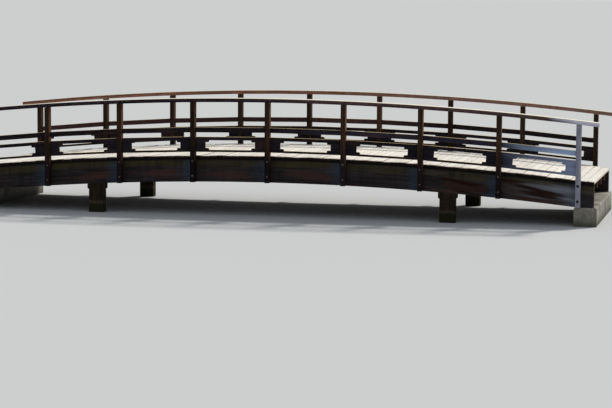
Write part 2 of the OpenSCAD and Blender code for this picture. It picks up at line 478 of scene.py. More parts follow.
def weatheredWithPaintedSun(look, wood, base):
    # changes along the bridge, water runs, knots, painted sunlight on the near posts' right sides, feet darkened below
    # the deck and sawn ends
    for side, tint, start, full, share in look["tints"]:
        amount = ramp(wood.x, start, full, 0.0, share)
        if side:
            amount = amount * ramp(wood.y, 0.0, 0.2 * side)
        base = blend(amount, base, tint)
    upright = 1.0 - abs(wood.facing[2])
    base = blend(ramp(wood.runs, 0.52, 0.66) * upright * 0.45, base, look["dark"])
    base = blend(wood.knot * 0.8, base, look["dark"])
    if "sunny" in look:
        # the near row's right sides are painted in the lit colour: painted sunlight
        sunny = ramp(wood.facing[0], 0.5, 0.9, 0.0, look["sunny"]) * ramp(wood.y, 0.2, -0.2, 0.2, 1.0)
        base = blend(sunny, base, look["worn"])
    if "foot" in look:
        base = blend(ramp(wood.depth, *look["footBand"], 0.0, look["foot"]), base, look["bore"])
    return blend(wood.sawn, base, look["end"])


def fadedAndSkyLitEnd(look, wood, base):
    # the near side's right end has weathered grey, with blue sky light painted in: part weathering, part painted light
    nearSide = ramp(wood.y, 0.2, -0.4)
    reach = ramp((wood.patch - 0.5) * 0.5 + wood.x, *look["fadeBand"])
    thin = ramp(wood.fibre * 0.3 + wood.streaks, 0.52, 0.78, 1 - look["fadeGrain"], 1.0)
    # past the last post the fade stops, and the girder's end there keeps its dark colour: painted shade
    if "fadeStop" in look:
        reach = reach * ramp(wood.x, *look["fadeStop"], 1.0, 0.05)
    if "sheltered" in look:
        # the top below the deck's edge keeps its dark colour: painted shadow
        reach = reach * ramp(wood.depth, *look["sheltered"])
    return blend(nearSide * reach * thin * look["fade"], base, look["faded"])


def heartwood(look, wood, base):
    # ragged patches of heartwood, which lean with the grain
    ownX = wood.x + ramp(wood.shift, 0.0, 1.0, -look["patchStep"], look["patchStep"])
    for tint, share, spots in look["patches"]:
        nearest = None
        for centre, centreDepth, halfLength, halfHeight, lean in spots:
            along = ownX - centre
            below = (along * -lean + wood.depth - centreDepth) / halfHeight
            along = along / halfLength
            squares = along * along + below * below
            nearest = squares if nearest is None else nearest.maths("MINIMUM", squares)
        ragged = (wood.streaks - 0.5) * 4.0 + nearest
        base = blend(ramp(ragged, 1.6, 0.5, 0.0, share), base, tint)
    return base


def bleachedAndLitTops(look, wood, base):
    # the sun bleaches the tops, which on the rails and panels are painted paler still as a painted highlight; under
    # the deck's edge the girder's top is painted near black, a painted shadow
    worn = ramp(wood.fibre * 0.35 + wood.figure, 0.28, 0.62, look["bleachLow"], 1.0)
    base = blend(wood.top * worn * look["bleach"], base, look["bleached"])
    if "deep" in look:
        base = blend(ramp(wood.depth, *look["underDeckBand"], 0.0, look["underDeck"]), base, look["deep"])
    return base


def deckDirtAndGapShade(look, wood, base):
    # the boards' ends hold the damp, some further in than others
    inward = wood.patch * 0.35 + abs(wood.y) - deckHigh.y
    soiled = ramp(inward, *look["soiledBand"], 0.0, look["soiledShare"]) * wood.unsawn
    base = blend(soiled, base, look["soiled"])
    # undersides are darkened, partly unbleached wood and partly painted shade, and the sides in the gaps get painted
    # shade
    sides = ramp(abs(wood.facing[0]), 0.75, 0.95) * ramp(deckHigh.x - abs(wood.x), *look["gapBand"])
    shadedUndersAndGaps = ramp(wood.facing[2], -0.4, -0.8).maths("MAXIMUM", sides)
    return blend(shadedUndersAndGaps, base, look["under"])


def rubbedAndLitArrises(look, wood, base):
    # arrises, the faces that look between two axes, are painted pale: partly rubbed wear, partly a painted highlight
    # where they catch the light
    ax, ay, az = (abs(side) for side in wood.facing)
    flat = ax.maths("MAXIMUM", ay.maths("MAXIMUM", az))
    rubbedAndLit = blend(ramp(wood.facing[2], 0.2, 0.6), look["worn"], look["bleached"])
    return blend(ramp(flat, 0.97, 0.8, 0.0, look["arris"]) * wood.unsawn, base, rubbedAndLit)


def paintedBoreShade(look, wood, base):
    # faces in the bolts' bores are painted near black: painted shade
    return blend(attribute(treeOf(base), "inBore"), base, look["bore"])


def ironStains(look, wood, base):
    # black stains along the grain round the deck's screws
    offAcross = abs(attribute(treeOf(base), "acrossBoard")) - deckScrew["spread"]
    offAlong = None
    for line in bearerY:
        off = abs(abs(wood.y) - line)
        offAlong = off if offAlong is None else offAlong.maths("MINIMUM", off)
    offAlong = offAlong * 0.4
    away = (offAcross * offAcross + offAlong * offAlong).maths("SQRT")
    stained = ramp(away, *look["ironRing"]) * ramp(wood.fibre, 0.3, 0.6, 0.5, 1.0) * wood.top
    return blend(stained * look["ironShare"], base, look["iron"])


def wetFoot(look, wood, base):
    # the foot stood in water: slime below, a pale tide mark above it
    height = wood.runs * 0.12 + wood.z
    base = blend(ramp(height, *look["slimeTop"], 0.0, 0.85), base, look["slime"])
    mark = ramp(height, *look["tideFoot"]) * ramp(height, *look["tideTop"])
    return blend(mark * 0.4, base, look["tide"])


# what lies over the fresh colours, weathering and painted light and shade, in this order, for timbers that name the
# colour
weatherAndPaintedLightSteps = [
    ("olive", girderWeather), ("end", weatheredWithPaintedSun), ("faded", fadedAndSkyLitEnd), ("patches", heartwood),
    ("bleached", bleachedAndLitTops), ("soiled", deckDirtAndGapShade), ("worn", rubbedAndLitArrises), ("bore", paintedBoreShade),
    ("iron", ironStains), ("slime", wetFoot),
]


def timberMaterial(name):
    look = {**plainTimber, **timbers[name]}
    material, shader = newMaterial(name + "Timber")
    tree = material.node_tree
    wood = timberGrain(tree, look)
    base = freshColours(look, wood)
    for key, step in weatherAndPaintedLightSteps:
        if key in look:
            base = step(look, wood, base)

    # fibres, drying checks and the board's own tone
    light = ramp(wood.fibre, 0.2, 0.8, 0.88, 1.1) * wood.crack
    light = light * ramp(attribute(tree, "boardTone"), 0.0, 1.0, 1 - look["tone"], 1 + look["tone"])
    height = wood.figure * 0.6 + wood.fibre * 0.3 + wood.crack * 0.8
    plug(shader, {
        "Base Color": shaded(base, light),
        "Roughness": ramp(wood.figure, 0.3, 0.7, look["rough"] + 0.08, look["rough"] - 0.08),
        "Specular IOR Level": 0.06,
        "Normal": bumped(height, 0.5, 0.0015),
    })
    return material


woods = {name: timberMaterial(name) for name in timbers}

metal = {"zinc": (122, 126, 138), "rust": (98, 64, 47), "black": (26, 22, 21)}


def metalMaterial():
    material, shader = newMaterial("rustedZincSteel")
    tree = material.node_tree
    place = addNode(tree, "TexCoord")["Object"]
    spots = noise(place, 90, 5, 0.65)
    pits = noise(place, 420, 3, 0.6)
    rust = attribute(tree, "rust")
    base = blend(ramp(rust * 0.2 + spots, 0.46, 0.62), metal["zinc"], metal["rust"])
    # the most rusted fixings are blended to black; on the last near post's bolts that black is painted shade
    plug(shader, {
        "Base Color": blend(ramp(rust, 0.5, 1.0, 0.0, 0.85), base, metal["black"]),
        "Roughness": ramp(spots, 0.3, 0.7, 0.55, 0.85),
        "Metallic": 0.35,
        "Specular IOR Level": 0.3,
        "Normal": bumped(pits, 0.4, 0.0008),
    })
    return material


concrete = {
    "pale": (168, 164, 154), "dark": (112, 108, 98), "damp": (74, 74, 64),
    "dampRise": (0.12, -0.04),  # above the ground
}


def concreteMaterial():
    material, shader = newMaterial("castConcrete")
    tree = material.node_tree
    place = addNode(tree, "TexCoord")["Object"]
    clouds = noise(place, 3.2, 6, 0.62)
    sand = noise(place, 130, 3, 0.7)
    runs = noise(place, (8, 8, 0.9), 4, 0.6)
    pits = addNode(tree, "TexVoronoi", {"Vector": place, "Scale": 42.0})["Distance"]
    unpitted = ramp(pits, 0.1, 0.16)
    base = blend(ramp(clouds, 0.35, 0.65), concrete["dark"], concrete["pale"])
    base = blend(ramp(runs, 0.55, 0.7, 0.0, 0.5), base, concrete["damp"])
    edge = clouds * -0.16 + split(place)[2]
    base = blend(ramp(edge, *concrete["dampRise"], 0.0, 0.85), base, concrete["damp"])
    light = ramp(sand, 0.2, 0.8, 0.88, 1.1) * ramp(unpitted, 0.0, 1.0, 0.6, 1.0)
    plug(shader, {
        "Base Color": shaded(base, light),
        "Roughness": 0.88,
        "Specular IOR Level": 0.25,
        "Normal": bumped(sand * 0.4 + unpitted, 0.5, 0.002),
    })
    return material


rustedSteel = metalMaterial()
castConcrete = concreteMaterial()
print("finishes mixed")


# Pieces: plain meshes in the bridge's own place

def plainMesh(name, points, faces):
    mesh = bpy.data.meshes.new(name)
    mesh.from_pydata(points, [], faces)
    return mesh


def closedMesh(name, points, faces, weld=0.0):
    # a mesh with outward faces, whose points within the weld distance become one
    mesh = plainMesh(name, points, faces)
    work = bmesh.new()
    work.from_mesh(mesh)
    if weld:
        bmesh.ops.remove_doubles(work, verts=work.verts, dist=weld)
        bmesh.ops.dissolve_degenerate(work, edges=work.edges, dist=weld)
    bmesh.ops.recalc_face_normals(work, faces=work.faces)
    work.to_mesh(mesh)
    work.free()
    return mesh


def store(mesh, label, values, kind="FLOAT", domain="POINT"):
    layer = mesh.attributes.get(label) or mesh.attributes.new(label, kind, domain)
    layer.data.foreach_set("vector" if kind == "FLOAT_VECTOR" else "value", values)


def newObject(name, data):
    made = bpy.data.objects.new(name, data)
    bpy.context.scene.collection.objects.link(made)
    return made


def newPiece(name, mesh, material):
    mesh.materials.clear()
    mesh.materials.append(material)
    return newObject(name, mesh)


def keepEvaluated(piece):
    # what the modifiers make becomes a plain mesh
    view = bpy.context.evaluated_depsgraph_get()
    solid = piece.evaluated_get(view)
    made = bpy.data.meshes.new_from_object(solid, preserve_all_data_layers=True, depsgraph=view)
    piece.modifiers.clear()
    piece.data = made
    made.name = piece.name
    return made


def finish(piece, slot, *nodes):
    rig.ride(piece, "root")
    if nodes:
        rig.replaces(piece, *nodes)
    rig.slot(piece, slot)


def spaced(start, stop, step):
    count = max(2, math.ceil((stop - start) / step) + 1)
    return [start + (stop - start) * k / (count - 1) for k in range(count)]


def easedSection(wide, deep, upperEdge, lowerEdge=None, steps=2):
    # points round a section with eased corners, anticlockwise
    points = []
    for quarter, (sideA, sideB) in enumerate(((1, 1), (-1, 1), (-1, -1), (1, -1))):
        edge = lowerEdge if lowerEdge and sideB < 0 else upperEdge
        for k in range(steps + 1):
            turn = math.pi / 2 * (quarter + k / steps)
            points.append((sideA * (wide / 2 - edge) + edge * math.cos(turn),
                           sideB * (deep / 2 - edge) + edge * math.sin(turn)))
    return points


def ringFaces(first, rings, count):
    # faces between rings of points that follow one another, and the two ends
    faces = []
    for r in range(rings - 1):
        for k in range(count):
            a = first + r * count + k
            b = first + r * count + (k + 1) % count
            faces.append((a, b, b + count, a + count))
    last = first + (rings - 1) * count
    return faces + [tuple(reversed(range(first, first + count))), tuple(range(last, last + count))]


def lengthwise(y, high):
    # puts the points of a section along a straight bridge
    def place(s, a, b):
        return (s, y + a, high + b)
    return place


def barsPiece(name, material, bars):
    # each bar: place(s, a, b), which puts a point (a, b) of the section at a station s, then the
    # stations, the section, the easing of its ends, and the tone and shift of its grain
    points = []
    faces = []
    tones = []
    shifts = []
    for place, stations, section, edge, tone, shift in bars:
        halfWide = max(a for a, b in section)
        halfDeep = max(b for a, b in section)
        end = [(a * (1 - edge / halfWide), b * (1 - edge / halfDeep)) for a, b in section]
        rings = [(stations[0], end), (stations[0] + edge, section)]
        rings += [(s, section) for s in stations[1:-1]]
        rings += [(stations[-1] - edge, section), (stations[-1], end)]
        faces += ringFaces(len(points), len(rings), len(section))
        points += [place(s, a, b) for s, ring in rings for a, b in ring]
        tones += [tone] * (len(rings) * len(section))
        shifts += [shift] * (len(rings) * len(section))
    mesh = closedMesh(name, points, faces)
    store(mesh, "boardTone", tones)
    store(mesh, "boardShift", shifts)
    return newPiece(name, mesh, material)


def turned(name, parts, spots=((0, 0),)):
    # at each spot, outlines turned about Z, given as number of sides and (radius, height) points
    points = []
    faces = []
    for x, y in spots:
        for sides, outline in parts:
            faces += ringFaces(len(points), len(outline), sides)
            for radius, height in outline:
                for k in range(sides):
                    turn = 2 * math.pi * k / sides
                    points.append((x + radius * math.cos(turn), y + radius * math.sin(turn), height))
    return plainMesh(name, points, faces)


# Geometry Nodes: a tree with named inputs, run once and kept as a plain mesh

def newTree(name, numbers, **others):
    # an input for the geometry, for each of the numbers, for others by their kind, and the material
    tree = bpy.data.node_groups.new(name, "GeometryNodeTree")
    kinds = {label: "Int" if isinstance(value, int) else "Float" for label, value in numbers.items()}
    for label, kind in {"Geometry": "Geometry", **kinds, **others, "Material": "Material"}.items():
        tree.interface.new_socket(label, in_out="INPUT", socket_type="NodeSocket" + kind)
    tree.interface.new_socket("Geometry", in_out="OUTPUT", socket_type="NodeSocketGeometry")
    return tree, addNode(tree, "NodeGroupInput")


def closeTree(tree, geometry, material):
    # realizes the copies and gives them their material
    real = addNode(tree, "GeometryNodeRealizeInstances", {0: geometry})
    painted = addNode(tree, "GeometryNodeSetMaterial", {0: real, "Material": material})
    addNode(tree, "NodeGroupOutput", {0: painted})
    return tree


def runTree(piece, tree, values):
    modifier = piece.modifiers.new(tree.name, "NODES")
    modifier.node_group = tree
    for item in tree.interface.items_tree:
        if item.in_out == "INPUT" and item.name in values:
            modifier[item.identifier] = values[item.name]
    keepEvaluated(piece)


bending = {"Arch Radius": arch["radius"], "Arch Centre": archCentre}


def bentHeight(given, x, z):
    # height above a straight deck becomes distance from the arch's centre
    radius = given["Arch Radius"] + z
    return (radius * radius - x * x).maths("SQRT") + given["Arch Centre"]


def bendTree():
    tree, given = newTree("bendToArch", {**bending, "Lowest": 0.0})
    x, y, z = split(addNode(tree, "GeometryNodeInputPosition"))
    seated = bentHeight(given, x, z).maths("MAXIMUM", given["Lowest"])
    inputs = {0: given["Geometry"], "Position": joined(x, y, seated)}
    return closeTree(tree, addNode(tree, "GeometryNodeSetPosition", inputs), given["Material"])


bendToArch = bendTree()


def bendBars(name, material, bars, slot, node, lowest=-10.0):
    # what would come under the lowest level is pressed flat on it
    piece = barsPiece(name, material, bars)
    runTree(piece, bendToArch, {**bending, "Lowest": lowest, "Material": material})
    finish(piece, slot, node)


# Deck: boards across the bridge, laid to the arc, notched round the posts

deck = {
    "width": 0.14, "thickness": 0.038, "edge": 0.003, "station": 0.4,
    "notchLength": 0.046, "notchDepth": 0.024, "weld": 1e-6,
}
# what the tree of the boards and of their screws is given
laying = {
    **bending, "Boards Per Bay": 10, "Boards Past End": 2,
    "Lift": 0.0012, "Tilt": 0.0035, "End Wander": 0.004, "Warp": 0.0012, "Seed": 4,
}
laying["Boards"] = bayCount * laying["Boards Per Bay"] + 2 * laying["Boards Past End"]
laying["Pitch"] = bayLength / laying["Boards Per Bay"]
bearerTop = -deck["thickness"] - arch["seat"]  # of the timbers that carry the boards


def deckBoard(name, notchSide):
    # one board at the origin: X across its width, Y along it, its top at z = 0
    wide = deck["width"]
    deep = deck["thickness"]
    notchY = deckHigh.y - deck["notchDepth"]
    cut = deck["notchLength"] if notchSide else 0.0
    tips = [(deckHigh.y - laying["End Wander"], cut), (notchY, cut)]
    rings = [(-y, short) for y, short in tips] + [(y, 0.0) for y in spaced(-notchY, notchY, deck["station"])]
    rings += reversed(tips)
    section = easedSection(wide, deep, deck["edge"])
    points = []
    for k, (y, short) in enumerate(rings):
        shrink = 2 * deck["edge"] if k in (0, len(rings) - 1) else 0.0
        for a, b in section:
            x = a * (wide - short - shrink) / wide - notchSide * short / 2
            points.append((x, y, b * (1 - shrink / deep) - deep / 2))
    mesh = closedMesh(name, points, ringFaces(0, len(rings), len(section)), deck["weld"])
    store(mesh, "acrossBoard", [vert.co.x for vert in mesh.vertices])
    return mesh


# sides and (radius, height) points of a countersunk head with its drive recess
screwHead = (10, [(0.00288, -0.004), (0.0048, -0.0006), (0.0048, 0.0003), (0.0024, 0.0003),
                  (0.001728, -0.0018)])


def boardScrews():
    # the screws of one board, a pair on each line that carries it
    lines = [-y for y in bearerY[:-1]] + bearerY[::-1]
    spots = [(x, y) for y in lines for x in (-deckScrew["spread"], deckScrew["spread"])]
    return turned("boardScrews", [screwHead], spots)


def deckTree(variants):
    tree, given = newTree("deckBoards", laying)

    def randomBetween(low, high, offset):
        inputs = {2: low, 3: high, "Seed": given["Seed"] + offset}
        return addNode(tree, "FunctionNodeRandomValue", inputs, data_type="FLOAT")[1]

    start = (given["Boards"] - 1) * given["Pitch"] * -0.5
    line = addNode(tree, "GeometryNodeMeshLine", {
        "Count": given["Boards"], "Start Location": joined(start), "Offset": joined(given["Pitch"]),
    })
    # the boards beside a post are notched on the post's side
    lead = given["Boards Per Bay"] - given["Boards Past End"]
    inBay = (addNode(tree, "GeometryNodeInputIndex") + lead).maths("MODULO", given["Boards Per Bay"])
    before = inBay.maths("COMPARE", given["Boards Per Bay"] - 1, 0.1)
    after = inBay.maths("COMPARE", 0.0, 0.1)
    shapes = addNode(tree, "GeometryNodeCollectionInfo", {
        0: variants, "Separate Children": True, "Reset Children": True,
    })
    inputs = {0: (-1, -1, 0), 1: (1, 1, 0), "Seed": given["Seed"] + 1}
    tip = addNode(tree, "FunctionNodeRandomValue", inputs, data_type="FLOAT_VECTOR")
    turn = addNode(tree, "VectorMath", {0: tip, "Scale": given["Tilt"]}, operation="SCALE")
    placed = addNode(tree, "GeometryNodeInstanceOnPoints", {
        "Points": line, "Instance": shapes, "Pick Instance": True, "Instance Index": after * 2.0 + before,
        "Rotation": turn,
    })
    slide = randomBetween(-1, 1, 2) * given["End Wander"]
    rise = randomBetween(-1, 0, 3) * given["Lift"]
    inputs = {0: placed, "Translation": joined(0.0, slide, rise)}
    geometry = addNode(tree, "GeometryNodeTranslateInstances", inputs)
    for offset, label in ((4, "boardTone"), (5, "boardShift")):
        inputs = {0: geometry, "Name": label, "Value": randomBetween(0, 1, offset)}
        geometry = addNode(tree, "GeometryNodeStoreNamedAttribute", inputs, domain="INSTANCE")
    real = addNode(tree, "GeometryNodeRealizeInstances", {0: geometry})
    # boards cup and twist a little
    position = addNode(tree, "GeometryNodeInputPosition")
    x, y, z = split(position)
    dip = ramp(noise(position, (9, 1.1, 0), 1), 0.25, 0.75, -1.0, 0.0) * given["Warp"]
    inputs = {0: real, "Position": joined(x, y, bentHeight(given, x, z + dip))}
    return closeTree(tree, addNode(tree, "GeometryNodeSetPosition", inputs), given["Material"])


def layBoards(name, shapes, material, slot, *nodes):
    variants = bpy.data.collections.new(name + "Shapes")
    for k, shape in enumerate(shapes):
        variants.objects.link(bpy.data.objects.new(f"{name}Shape{k}", shape))
    piece = newPiece(name, bpy.data.meshes.new(name), material)
    runTree(piece, deckTree(variants), {**laying, "Material": material})
    for shape in list(variants.objects):
        bpy.data.objects.remove(shape)
    bpy.data.collections.remove(variants)
    finish(piece, slot, *nodes)


layBoards("deckBoards", [deckBoard(f"board{k}", side) for k, side in enumerate((0, 1, -1))],
          woods["deck"], "deck_timber", "deck")
layBoards("deckScrews", [boardScrews()] * 3, rustedSteel, "bolt_iron")
print("deck boards laid and screwed")

# Girders: twelve curved laminations of butted lengths

girder = {
    "depth": 0.456, "laminations": 12, "seam": 0.0001, "edge": 0.0009, "stagger": 0.0008,
    "lengths": 4, "shortest": 0.1, "joint": 0.0008, "station": 0.29, "seed": 11,
}


def makeGirder(row):
    node = f"{row}_girder"
    low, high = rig.box(node)
    draws = random.Random(girder["seed"] + (row == "far"))
    lamination = girder["depth"] / girder["laminations"]
    pitch = 2 * high.x / (girder["lengths"] - 1)
    tooShort = girder["shortest"] + girder["joint"]
    bars = []
    for k in range(girder["laminations"]):
        start = -high.x - pitch * draws.random()
        wide = high.y - low.y + 2 * draws.uniform(-1, 0) * girder["stagger"]
        section = easedSection(wide, lamination - girder["seam"], girder["edge"], steps=1)
        place = lengthwise((low.y + high.y) / 2, bearerTop - (k + 0.5) * lamination)
        for n in range(girder["lengths"] + 1):
            left = max(-high.x, start + n * pitch)
            right = min(high.x, start + (n + 1) * pitch - girder["joint"])
            if right - left < girder["shortest"]:
                continue
            # the length beside a piece too short to lay runs on to the girder's end
            if left + high.x < tooShort:
                left = -high.x
            if high.x - right < tooShort:
                right = high.x
            stations = spaced(left, right, girder["station"])
            bars.append((place, stations, section, girder["edge"], draws.random(), draws.random()))
    bendBars(f"{row}Girder", woods["girder"], bars, "girder_timber", node, low.z)


for row in rows:
    makeGirder(row)
print("girders laminated")

# Handrails: two plies bent over the posts, the upper one rounded

handrail = {
    "thickness": 0.0755, "width": 0.146, "edge": 0.002, "seam": 0.0002, "joint": 0.002, "lowerJoint": 2.9,
    # how far the arrises of each ply are rounded, at its top and at its foot
    "upperPly": (0.014, 0.002), "lowerPly": (0.0006, 0.0056), "steps": 4,
    # the ends are cut square to the curve, from here on and over this length
    "squareFrom": 5.9, "squareOver": 0.27, "short": 0.0006,
    "station": 0.145, "seed": 23,
}


def makeHandrail(row, look):
    node = f"{row}_handrail"
    low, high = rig.box(node)
    draws = random.Random(handrail["seed"] + rows[row])
    lean = math.tan(math.asin(high.x / (arch["radius"] + arch["railRise"])))
    halfLength = high.x - handrail["thickness"] * lean - handrail["short"]
    ply = (handrail["thickness"] - handrail["seam"]) / 2
    bars = []
    for upper in (False, True):
        edges = handrail["upperPly" if upper else "lowerPly"]
        section = easedSection(handrail["width"], ply, *edges, handrail["steps"])
        rise = handrail["thickness"] - ply / 2 if upper else ply / 2

        def place(s, a, b, rise=rise):
            square = lean * (rise + b) * max(0, (abs(s) - handrail["squareFrom"]) / handrail["squareOver"])
            return (s + math.copysign(square, s), (low.y + high.y) / 2 + a, arch["railRise"] + rise + b)

        cuts = [0.0] if upper else [-handrail["lowerJoint"], handrail["lowerJoint"]]
        ends = [-halfLength] + cuts + [halfLength]
        for left, right in zip(ends, ends[1:]):
            left += handrail["joint"] / 2 if left > -halfLength else 0
            right -= handrail["joint"] / 2 if right < halfLength else 0
            stations = spaced(left, right, handrail["station"])
            bars.append((place, stations, section, handrail["edge"], draws.random(), draws.random()))
    bendBars(f"{row}Handrail", woods[look], bars, "rail_timber", node)


makeHandrail("near", "rail")
makeHandrail("far", "farRail")
print("handrails bent")

# Stringers under the deck

stringer = {"width": 0.089, "depth": 0.14, "edge": 0.004, "station": 0.29, "seed": 31}


def makeStringers():
    low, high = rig.box("stringers")
    draws = random.Random(stringer["seed"])
    half = stringer["width"] / 2
    section = easedSection(stringer["width"], stringer["depth"], stringer["edge"])
    stations = spaced(low.x, high.x, stringer["station"])
    bars = []
    for y in (low.y + half, 0.0, high.y - half):
        place = lengthwise(y, bearerTop - stringer["depth"] / 2)
        bars.append((place, stations, section, stringer["edge"], draws.random(), draws.random()))
    bendBars("stringerBeams", woods["frame"], bars, "frame_timber", "stringers")


makeStringers()

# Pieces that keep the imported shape, with eased arrises

easing = {"weld": 1e-5, "flat": 0.6, "sharp": 30.0, "seed": 41}  # angles in degrees
easedPieces = {
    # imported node, how far its arrises are eased, finish and slot
    "midRails": ("mid_rails", 0.004, woods["midRail"], "panel_timber"),
    "crossBeams": ("cross_beams", 0.005, woods["crossBeam"], "frame_timber"),
    "pierBolsters": ("bolsters", 0.008, woods["pier"], "pier_timber"),
    "pierPosts": ("pier_posts", 0.008, woods["pier"], "pier_timber"),
    "endSeats": ("end_seats", 0.006, castConcrete, "concrete"),
}
panel = {"edge": 0.0035, "seed": 50}


def toneByPart(work, seed):
    # every loose solid of a joined mesh gets a tone and a shift of its own
    draws = random.Random(seed)
    toneLayer = work.verts.layers.float.new("boardTone")
    shiftLayer = work.verts.layers.float.new("boardShift")
    seen = set()
    for start in work.verts:
        if start in seen:
            continue
        tone = draws.random()
        shift = draws.random()
        queue = [start]
        seen.add(start)
        while queue:
            vert = queue.pop()
            vert[toneLayer] = tone
            vert[shiftLayer] = shift
            for edge in vert.link_edges:
                other = edge.other_vert(vert)
                if other not in seen:
                    seen.add(other)
                    queue.append(other)


def makeEased(name, node, edge, material, slot, seed):
    work = bmesh.new()
    work.from_mesh(frame["nodes"][node].data)
    bmesh.ops.remove_doubles(work, verts=work.verts, dist=easing["weld"])
    flat = math.radians(easing["flat"])
    bmesh.ops.dissolve_limit(work, angle_limit=flat, verts=work.verts, edges=work.edges)
    limit = math.radians(easing["sharp"])
    sharp = [e for e in work.edges if len(e.link_faces) == 2 and e.calc_face_angle() > limit]
    bmesh.ops.bevel(work, geom=sharp, offset=edge, segments=2, profile=0.5, affect="EDGES",
                    clamp_overlap=True)
    bmesh.ops.recalc_face_normals(work, faces=work.faces)
    toneByPart(work, seed)
    mesh = bpy.data.meshes.new(name)
    work.to_mesh(mesh)
    work.free()
    finish(newPiece(name, mesh, material), slot, node)


for k, (name, (node, edge, material, slot)) in enumerate(easedPieces.items()):
    makeEased(name, node, edge, material, slot, easing["seed"] + k)
for i in range(bayCount):
    for k, row in enumerate(rows):
        makeEased(f"{row}Panel{i + 1}", f"{row}_panel_{i + 1}", panel["edge"], woods["panel"],
                  "panel_timber", panel["seed"] + 2 * i + k)
print("panels and beams eased")

# Posts: heads cut to the handrail, feet bored for the bolts

post = {
    "edge": 0.004, "station": 0.16, "boltRise": (0.12, 0.401),
    "boreRadius": 0.026, "boreDepth": 0.02, "boreSides": 28, "slack": 0.0001, "seed": 71,
    "tone": 0.47,  # how pale a post is
    # the few that stand out, counted from the left
    "standOut": {
        ("near", 4): 0.1, ("near", 6): 1.0, ("near", 7): 0.7,
        ("far", 6): 0.75, ("far", 7): 0.15, ("far", 8): 0.7,
    },
}


def borePost(piece, spots):
    # each spot is the middle of a bore's mouth
    work = bmesh.new()
    for spot in spots:
        bmesh.ops.create_cone(
            work, cap_ends=True, segments=post["boreSides"], radius1=post["boreRadius"],
            radius2=post["boreRadius"], depth=2 * post["boreDepth"],
            matrix=Matrix.Translation(spot) @ Matrix.Rotation(math.pi / 2, 4, "X"))
    mesh = bpy.data.meshes.new("bores")
    work.to_mesh(mesh)
    work.free()
    cutter = newObject("bores", mesh)
    cut = piece.modifiers.new("bore", "BOOLEAN")
    cut.operation = "DIFFERENCE"
    cut.object = cutter
    cut.solver = "EXACT"
    made = keepEvaluated(piece)
    bpy.data.objects.remove(cutter)
    made.materials.clear()
    made.materials.append(woods["post"])
    return made


def makePost(row, i):
    node = f"{row}_post_{i + 1}"
    low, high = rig.box(node)
    centre = (low + high) / 2
    outerY = centre.y + rows[row] * (high.y - low.y) / 2
    draws = random.Random(post["seed"] + 2 * i + (row == "far"))

    def place(s, a, b):
        x = centre.x + a
        head = deckZ(x) + arch["railRise"] - arch["seat"]
        return (x, centre.y + b, low.z + (s - low.z) * (head - low.z) / (high.z - low.z))

    tone = post["standOut"].get((row, i + 1), post["tone"])
    shift = draws.random()
    stations = spaced(low.z, high.z, post["station"])
    section = easedSection(high.x - low.x, high.y - low.y, post["edge"])
    bar = (place, stations, section, post["edge"], tone, shift)
    piece = barsPiece(f"{row}Post{i + 1}", woods["post"], [bar])
    mesh = borePost(piece, [(centre.x, outerY, low.z + rise) for rise in post["boltRise"]])
    store(mesh, "boardTone", [tone] * len(mesh.vertices))
    store(mesh, "boardShift", [shift] * len(mesh.vertices))
    # a bore's faces lie behind the outer face and near the post's middle line
    inBore = []
    for face in mesh.polygons:
        behind = post["slack"] < abs(face.center.y - outerY) <= post["boreDepth"] + post["slack"]
        close = abs(face.center.x - centre.x) < post["boreRadius"] + post["slack"]
        inBore.append(float(behind and close))
    store(mesh, "inBore", inBore, domain="FACE")
    finish(piece, "post_timber", node)


for i in range(postCount):
    for row in rows:
        makePost(row, i)
print("posts stood")


# Fixings: one shape set on points, each point with its own turn

def fixingTree():
    tree, given = newTree("fixingsOnPoints", {}, Shape="Object")
    shape = addNode(tree, "GeometryNodeObjectInfo", {0: given["Shape"]})
    turn = addNode(tree, "GeometryNodeInputNamedAttribute", {"Name": "turn"}, data_type="FLOAT_VECTOR")
    placed = addNode(tree, "GeometryNodeInstanceOnPoints", {
        "Points": given["Geometry"], "Instance": shape["Geometry"], "Rotation": turn,
    })
    return closeTree(tree, placed, given["Material"])


fixingsOnPoints = fixingTree()


def setFixings(name, shape, spots):
    # spots: the place of each, the way it faces, its spin and its rust
    holder = bpy.data.objects.new(name + "Shape", shape)
    mesh = plainMesh(name, [spot[0] for spot in spots], [])
    turns = []
    for place, facing, spin, rust in spots:
        facingTurn = Vector(facing).to_track_quat("Z", "Y").to_matrix()
        turns += list((facingTurn @ Matrix.Rotation(spin, 3, "Z")).to_euler())
    store(mesh, "turn", turns, "FLOAT_VECTOR")
    store(mesh, "rust", [spot[3] for spot in spots])
    piece = newPiece(name, mesh, rustedSteel)
    runTree(piece, fixingsOnPoints, {"Shape": holder, "Material": rustedSteel})
    bpy.data.objects.remove(holder)
    finish(piece, "bolt_iron")


bolt = {
    # sides and (radius, height) points of the washer, the nut and the shank's end
    "parts": [
        (20, [(0.02, 0), (0.02, 0.0024), (0.0194, 0.003)]),
        (6, [(0.016, 0.003), (0.016, 0.013), (0.0138, 0.0145)]),
        (12, [(0.008, 0.0145), (0.008, 0.016), (0.007, 0.017)]),
    ],
    "spin": 1.05, "rust": 0.5, "seed": 91,
}


def boltPosts():
    draws = random.Random(bolt["seed"])
    spots = []
    for i in range(postCount):
        for row, side in rows.items():
            low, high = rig.box(f"{row}_post_{i + 1}")
            seat = (low.y if side < 0 else high.y) - side * post["boreDepth"]
            bleached = row == "near" and i == postCount - 1  # this post's bolts are painted black: painted shade in its bores
            for rise in post["boltRise"]:
                rust = 1.0 if bleached else draws.uniform(0, bolt["rust"])
                spin = draws.uniform(0, bolt["spin"])
                spots.append(((postX[i], seat, low.z + rise), (0, side, 0), spin, rust))
    setFixings("postBolts", turned("bolt", bolt["parts"]), spots)


boltPosts()

railScrew = {
    "inset": 0.024,  # from the panel's ends
    "rises": (0.118, 0.318, 0.472, 0.518),  # above the deck: two in the panel, two in the mid rail
    "spin": 6.28, "rust": (0.3, 0.8), "seed": 97,
}


